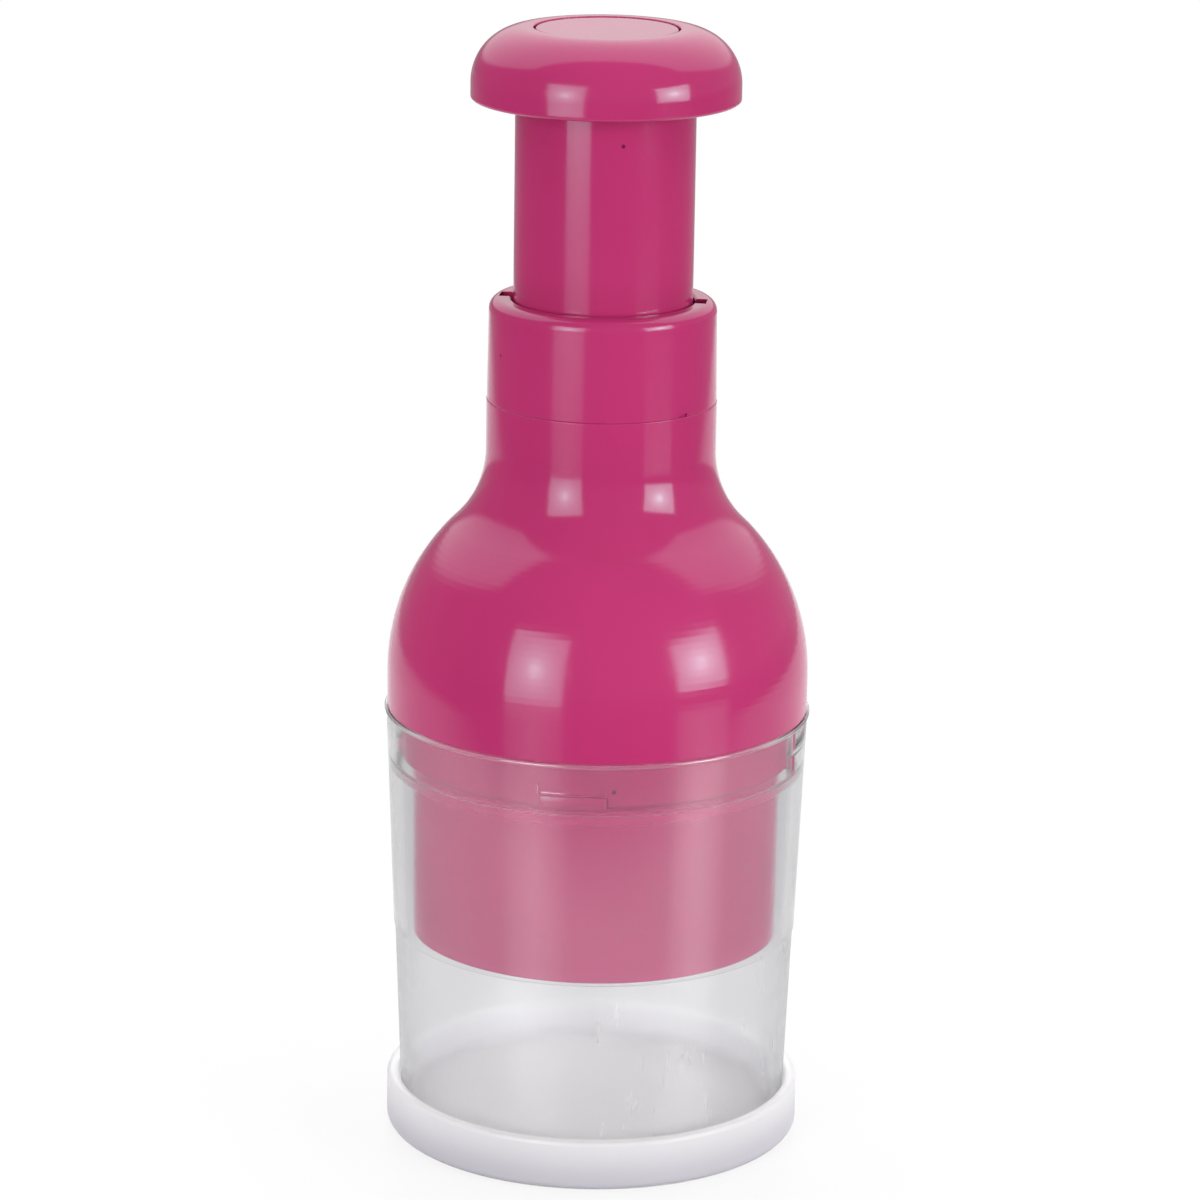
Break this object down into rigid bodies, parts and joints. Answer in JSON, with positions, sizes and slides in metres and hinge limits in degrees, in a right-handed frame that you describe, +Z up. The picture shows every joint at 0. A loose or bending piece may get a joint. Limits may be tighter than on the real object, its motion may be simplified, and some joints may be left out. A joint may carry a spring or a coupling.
{
  "type": "push-down vegetable chopper",
  "caption": "Hand vegetable chopper: a sprung plunger with a mushroom knob drives a turning zigzag blade down through a clear container onto a round base lid.",
  "frame": {"origin": "centre of the base lid's underside, where it rests on the table", "axes": "+Z up along the plunger, +X through the two slots in the collar's top"},
  "size_m": [0.0918, 0.0918, 0.2419],
  "materials": {
    "pink_plastic": "smooth moulded gloss",
    "clear_plastic": "clear moulded gloss",
    "white_plastic": "milky white moulded, low gloss",
    "natural_plastic": "unpainted moulded",
    "steel": "bright stainless"
  },
  "bodies": {
    "base": {"base_lid": "white_plastic"},
    "container": {"container": "clear_plastic"},
    "housing": {"bell_housing": "pink_plastic", "blade_guard": "pink_plastic", "neck_collar": "pink_plastic", "guide_sleeve": "natural_plastic", "drive_nut": "natural_plastic", "nut_screws": "steel", "return_spring": "steel"},
    "plunger": {"push_knob": "pink_plastic", "knob_disc": "pink_plastic", "knob_screws": "steel", "plunger_tube": "pink_plastic", "spring_washer": "steel", "thrust_washer": "white_plastic"},
    "blade_unit": {"twist_spindle": "natural_plastic", "spindle_clip": "steel", "ratchet_wheel": "natural_plastic", "pawl_ring": "natural_plastic", "hub_cover": "natural_plastic", "blade_carrier": "natural_plastic", "zigzag_blade": "steel", "carrier_screw": "steel"}
  },
  "joints": [
    {"name": "container_lift", "type": "slide", "parent": "base", "child": "container", "axis": [0, 0, 1], "range_m": [0, 0.03]},
    {"name": "housing_twist", "type": "hinge", "parent": "container", "child": "housing", "pos_m": [0, 0, 0.0953], "axis": [0, 0, 1], "range_deg": [0, 25]},
    {"name": "plunger_slide", "type": "slide", "parent": "housing", "child": "plunger", "axis": [0, 0, -1], "range_m": [0, 0.0417], "stiffness_N_per_m": 600, "springref_m": -0.02, "deforming": ["return_spring"]},
    {"name": "blade_turn", "type": "hinge", "parent": "plunger", "child": "blade_unit", "pos_m": [0, 0, 0.23], "axis": [0, 0, 1], "range_deg": [0, 45]}
  ],
  "couplings": [
    {"joint": "blade_turn", "follows": "plunger_slide", "rad_per_m": 18.834}
  ]
}
